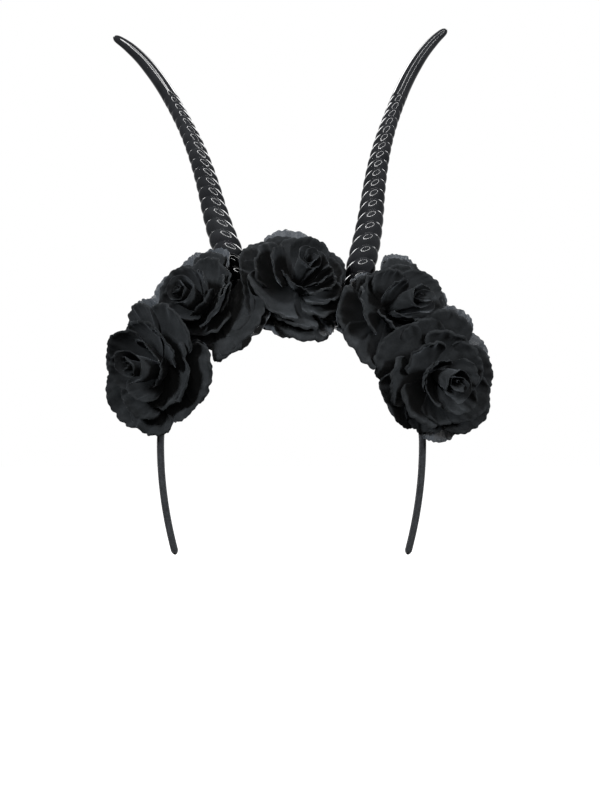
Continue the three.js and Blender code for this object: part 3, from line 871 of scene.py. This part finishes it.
def make_petal(name, whorl, cut, place, draw):
    direction, rim_out, rim_height, half_width = cut
    blank = flat_cloth(name, PETAL_ACROSS, PETAL_ALONG)
    grid = corners(blank)
    across = np.sin(grid[:, 0] * math.pi / 2)
    share = 1 - (1 - (grid[:, 1] + 1) / 2) ** EDGE_CROWDING
    edge = np.sqrt(np.clip(1 - across ** 2, 0, 1))
    lobes = ripple(draw, across, 0 * across, LOBE_WAVES)
    pinking = np.sin(PINKS * math.pi * grid[:, 0] + draw.uniform(0, 2 * math.pi))
    cut_edge = (1 - whorl["rounding"] * (1 - edge)) * (1 + whorl["lobes"] * LOBE_GAIN * lobes
                                                       + whorl["pinking"] * pinking)
    reach = share * cut_edge
    far, up, slope, length = petal_line(whorl, reach, rim_out, rim_height)
    back, under = curled(whorl, (1 - share) * cut_edge * length, reach)
    sideways = across * np.abs(across)
    near_rim = smoothstep(0.3, 1, share) * smoothstep(0.1, 0.4, reach)
    off = LAP * across * np.minimum(1, 2 * reach) - under
    off = off + whorl["wave"] * near_rim * ripple(draw, across, reach, WAVE_WAVES)
    off = off + whorl["flutter"] * near_rim ** 3 * ripple(draw, across, reach, FLUTTER_WAVES)
    off = off + BUCKLE * reach * ripple(draw, across, reach, BUCKLE_WAVES)
    along = -back * np.sqrt(1 - sideways ** 2)
    spread = np.interp(reach, SPREAD_AT, whorl["spread"]) * math.radians(half_width)
    azimuth = math.radians(direction) + across * spread
    azimuth = azimuth - sideways * back / np.maximum(far, NARROWEST)
    flat = np.stack([across * spread * far, reach * length, np.full(len(grid), direction)], axis=1)
    far = far + along * np.cos(slope) - off * np.sin(slope)
    up = up + along * np.sin(slope) + off * np.cos(slope)
    return bend(blank, place(azimuth, far, up), flat)


def flat_cut(whorl, cuts):
    """The strip that a whorl's petals are cut from in metres, and the area that they fill."""
    reach = np.linspace(0, 1, 41)
    width, longest, area = 0, 0, 0
    kept = CUT_FILL * (1 - whorl["rounding"] * (1 - math.pi / 4))
    for _, out, height, half_width in cuts:
        far, _, _, length = petal_line(whorl, reach, out, height)
        half = math.radians(half_width) * np.interp(reach, SPREAD_AT, whorl["spread"]) * far
        width += 2 * half.max()
        longest = max(longest, length)
        area += 2 * half.mean() * length * kept
    return (width * MM, longest * MM), area * MM * MM


def make_whorl(name, kind, place, draw):
    rose, whorl = ROSES[name], WHORLS[kind]
    petals = [make_petal(f"{name}_{kind}_{number}", whorl, cut, place, draw)
              for number, cut in enumerate(rose[kind])]
    piece = joined(f"{name}_{kind}_cloth", petals)
    add_modifier(piece, "SOLIDIFY", thickness=PETAL_WALL * MM, offset=0)
    slot = "sheer_fabric" if kind == "sheer" else "petal_fabric"
    finished(piece, slot, [f"{name}_{kind}_petals"], SHEET_CREASE)
    flat, area = flat_cut(whorl, rose[kind])
    return piece


print("petals:", PETAL_ACROSS, "by", PETAL_ALONG, "squares of", PETAL_WALL, "mm cloth")

# %% [markdown]
# The bud is one strip of the same cloth, rolled up round the axis so that its free edge shows
# as a spiral. The strip widens to a cup, its upper edge dips and rises, and its lip turns out.

# %% Buds
BUD_TURNS = 2.6
BUD_CORE = 0.9
BUD_PITCH = 2.1            # how far the roll grows in one turn, taken over all turns
BUD_TIGHTNESS = 1.5        # how much closer the turns lie in the core than outside
BUD_RISE = 1.6             # how far the core stands above the outer turn
BUD_ROUND, BUD_UP = 190, 18
BUD_UP_AT = (0, 0.5, 1)
BUD_HEIGHTS = (0.22, 0.60, 1.0)    # shares of the rose's height
BUD_GIRTHS = (0.60, 1.25, 1.55)    # how much wider the roll is there
BUD_LIP_FROM, BUD_LIP_OUT, BUD_LIP_DROP = 0.82, 0.9, 0.015
BUD_DIPS = ((0.06, 1.4), (0.015, 5.3))   # (depth as a share of the height, rate of turning)
BUD_WAVE, BUD_WAVES = 0.35, (3, 5)


def make_bud(name, place, draw):
    rose = ROSES[name]
    blank = flat_cloth(f"{name}_bud_cloth", BUD_ROUND, BUD_UP)
    grid = corners(blank)
    roll, row = (grid[:, 0] + 1) / 2, (grid[:, 1] + 1) / 2
    turn = 2 * math.pi * BUD_TURNS * roll
    girth = np.interp(row, BUD_UP_AT, BUD_GIRTHS)
    lip = smoothstep(BUD_LIP_FROM, 1, row)
    radius = girth * (BUD_CORE + BUD_PITCH * BUD_TURNS * roll ** BUD_TIGHTNESS)
    radius = radius + BUD_LIP_OUT * lip
    dip = sum(depth * row * np.sin(rate * turn) for depth, rate in BUD_DIPS)
    height = ROSE_HEIGHT * (np.interp(row, BUD_UP_AT, BUD_HEIGHTS) - dip - BUD_LIP_DROP * lip)
    height = height - BUD_RISE * roll * row
    radius = radius + BUD_WAVE * row * ripple(draw, roll * BUD_TURNS * 2, row, BUD_WAVES)
    azimuth = math.radians(rose["inner"][0][0]) + turn
    flat = np.stack([turn * radius, row * ROSE_HEIGHT, np.zeros(len(grid))], axis=1)
    piece = bend(blank, place(azimuth, radius, height), flat)
    add_modifier(piece, "SOLIDIFY", thickness=PETAL_WALL * MM, offset=0)
    finished(piece, "petal_fabric", [f"{name}_bud"], SHEET_CREASE)
    return piece


print("buds:", BUD_TURNS, "turns of a strip that ends", ROSE_HEIGHT, "mm up")

# %% [markdown]
# A rose's stem is a short moulded post that flares into a cup under the petals and into a
# foot on the band. It is turned straight and bent along a smooth curve between the two.

# %% Stems
STEM_CUP, STEM_WAIST = 4.6, 3.2
STEM_BEDDING = 1.5
STEM_GAP = 0.8
STEM_PULL = 0.4            # how far its curve's handles reach, as a share of its length
STEM_SIDES, STEM_RINGS = 28, 16


def make_stem(name):
    rose = ROSES[name]
    hub, face, _, _ = rose_frame(rose)
    foot, out = crown(math.radians(rose["foot"]))
    start = foot + out * (BAND_THICKNESS / 2 - STEM_BEDDING)
    end = hub + face * (WHORLS["sheer"]["root"] - STEM_GAP)
    length = np.linalg.norm(end - start)
    pull = length * STEM_PULL
    handles = np.array([start, start + out * pull, end - face * pull, end])
    rings = [(1, ring / STEM_RINGS) for ring in range(STEM_RINGS + 1)]
    stem = turned(f"{name}_stem", [(0, 0)] + rings + [(0, 1)], STEM_SIDES)
    blank = corners(stem)
    share = blank[:, 2]
    rest = 1 - share
    weights = np.stack([rest ** 3, 3 * rest ** 2 * share, 3 * rest * share ** 2,
                        share ** 3], axis=1)
    slopes = np.stack([-rest ** 2, rest ** 2 - 2 * rest * share, 2 * rest * share - share ** 2,
                       share ** 2], axis=1)
    ahead = unit(slopes @ handles)
    side = unit(np.cross((0, 1, 0), ahead))
    over = np.cross(side, ahead)
    radius = STEM_WAIST + (STEM_CUP - STEM_WAIST) * (2 * share - 1) ** 2
    places = (weights @ handles + side * (radius * blank[:, 0])[:, None]
              + over * (radius * blank[:, 1])[:, None])
    flat = np.stack([radius * blank[:, 0], radius * blank[:, 1], share * length], axis=1)
    return finished(bend(stem, places, flat), "calyx_plastic", [f"{name}_calyx"])

print("stems:", 2 * STEM_CUP, "mm wide at both ends and", 2 * STEM_WAIST, "mm at the waist")

# %% [markdown]
# A rose is put together as it is sewn: the stem first, then the whorls from the widest, sheer
# one to the narrow inner one, and the bud last. Its waves are drawn from a generator of its
# own with a fixed seed, so a change to one rose leaves the others as they are.

# %% Roses


def make_rose(name, seed):
    draw = random.Random(seed)
    place = rose_placer(name)
    pieces = [make_stem(name)]
    for kind in WHORLS:
        pieces.append(make_whorl(name, kind, place, draw))
    pieces.append(make_bud(name, place, draw))
    return pieces


for seed, rose_name in enumerate(ROSES):
    made = make_rose(rose_name, seed + 1)
    print(rose_name, len(made), "pieces,", sum(len(p.data.polygons) for p in made), "faces")

# %% [markdown]
# A studio lights black things mostly by what they reflect. A wide ring above and in front
# draws one closed outline on each glossy bead. Two soft boxes light only the matt petals. Two
# narrow beams from behind draw pale arcs on the horns' inner sides, and the room is bright
# behind the headband, which gives the horns their rims. The floor is pale and plain.

# %% Floor and lights
FLOOR_DROP = 150.0         # how far the floor lies below the band's tips
FLOOR_RADIUS = 8.0         # this and the places and sizes of the boxes and beams are in metres
FLOOR_GLOW = 0.97
RING_AT = (450.0, -1100.0, 950.0)
RING_TILT = 40.0           # degrees that the ring stands above the headband and looks down
RING_RADIUS = 820.0
RING_TUBE = 95.0
RING_SIDES = 8
RING_GLOW = 22.0
BOX_WATTS, BOX_SIDE = 150.0, 0.6
SOFT_BOXES = {"top_left_box": (-1.9, -1.5, 1.25), "right_box": (2.4, -1.4, 0.9)}
STRIP_WATTS, STRIP_SPREAD = 2.2, 30.0
STRIP_WIDE, STRIP_HIGH = 2.6, 0.7
# Each beam crosses over to the horn on the other side: where it stands and what it looks at.
STRIPS = {"left_strip": ((-0.62, 1.0, 0.94), (0.11, 0.03, 0.13)),
          "right_strip": ((0.62, 1.0, 0.94), (-0.10, 0.03, 0.13))}
ROOM_DIM, ROOM_BRIGHT = 0.04, 0.9
ROOM_FROM, ROOM_TO = 0.3, 1.0       # where the room turns bright, 1 being straight behind


def make_floor():
    deselect()
    level = band_low.z * MM - FLOOR_DROP * MM
    bpy.ops.mesh.primitive_circle_add(vertices=96, radius=FLOOR_RADIUS, fill_type="NGON",
                                      location=(0, 0, level))
    floor = bpy.context.object
    floor.name = "studio_floor"
    material = new_material("pale_matt_paint")
    place = add_node(material, "TexCoord").outputs["Object"]
    clouds = add_node(material, "TexNoise", inputs=blotches(place, 60.0))
    tone = add_node(material, "ValToRGB", inputs={"Fac": clouds.outputs["Fac"]},
                    stops=[(0.3, "#f4f4f5"), (0.7, "#fafafa")])
    paint = add_node(material, "BsdfPrincipled", inputs={
        "Base Color": tone.outputs["Color"], "Roughness": 0.9,
        "Emission Color": linear("#ffffff"), "Emission Strength": FLOOR_GLOW})
    add_node(material, "OutputMaterial", inputs={"Surface": paint.outputs[0]})
    floor.data.materials.append(material)
    floor.visible_diffuse = False
    floor.visible_glossy = False


def make_ring_light():
    """A flat ring that faces the headband, made by widening a circle's edge."""
    deselect()
    bpy.ops.mesh.primitive_circle_add(vertices=RING_SIDES, radius=RING_RADIUS * MM,
                                      rotation=(math.radians(90 - RING_TILT), 0, 0),
                                      location=[x * MM for x in RING_AT])
    ring = bpy.context.object
    ring.name = "ring_light"
    bpy.ops.object.mode_set(mode="EDIT")
    wider = 1 + RING_TUBE / RING_RADIUS
    bpy.ops.mesh.extrude_edges_move()
    bpy.ops.transform.resize(value=(wider, wider, wider))
    bpy.ops.object.mode_set(mode="OBJECT")
    material = new_material("lamp_glow")
    glow = add_node(material, "Emission", inputs={"Color": linear("#ffffff"),
                                                  "Strength": RING_GLOW})
    add_node(material, "OutputMaterial", inputs={"Surface": glow.outputs[0]})
    ring.data.materials.append(material)
    ring.visible_camera = False
    ring.visible_diffuse = False


def add_lamp(name, place, looks_at, watts, wide, high):
    """A rectangular lamp that the camera does not see."""
    bpy.ops.object.light_add(type="AREA", location=place)
    lamp = bpy.context.object
    lamp.name = name
    lamp.data.shape = "RECTANGLE"
    lamp.data.energy, lamp.data.size, lamp.data.size_y = watts, wide, high
    lamp.visible_camera = False
    lamp.rotation_euler = (Vector(looks_at) - Vector(place)).to_track_quat("-Z", "Y").to_euler()
    return lamp


def make_soft_box(name, place):
    """A lamp that models the cloth and leaves no mark on the gloss."""
    lamp = add_lamp(name, place, (0, 0, 0), BOX_WATTS, BOX_SIDE, BOX_SIDE)
    lamp.visible_glossy = False


def make_strip(name, place, horn_at):
    """A narrow beam from behind that draws pale arcs on one horn's inner side."""
    lamp = add_lamp(name, place, horn_at, STRIP_WATTS, STRIP_WIDE, STRIP_HIGH)
    lamp.data.spread = math.radians(STRIP_SPREAD)
    lamp.visible_diffuse = False


def make_room():
    """White where the camera looks, and for light a room that is bright behind the headband."""
    world = bpy.data.worlds.new("studio_room")
    bpy.context.scene.world = world
    world.use_nodes = True
    world.node_tree.nodes.clear()
    place = add_node(world, "TexCoord").outputs["Generated"]
    depth = add_node(world, "SeparateXYZ", inputs={"Vector": place}).outputs["Y"]
    level = add_node(world, "MapRange", inputs={
        "Value": depth, 1: ROOM_FROM, 2: ROOM_TO, 3: ROOM_DIM, 4: ROOM_BRIGHT})
    room = add_node(world, "Background", inputs={"Strength": level.outputs["Result"]})
    white = add_node(world, "Background", inputs={"Color": linear("#ffffff"), "Strength": 1.0})
    seen = add_node(world, "LightPath").outputs["Is Camera Ray"]
    mix = add_node(world, "MixShader", inputs={0: seen, 1: room.outputs[0], 2: white.outputs[0]})
    output = add_node(world, "OutputWorld")
    world.node_tree.links.new(mix.outputs[0], output.inputs["Surface"])


make_floor()
make_ring_light()
for box_name, box_at in SOFT_BOXES.items():
    make_soft_box(box_name, box_at)
for strip_name, (strip_at, strip_looks_at) in STRIPS.items():
    make_strip(strip_name, strip_at, strip_looks_at)
make_room()
print("lamps:", 1 + len(SOFT_BOXES) + len(STRIPS))
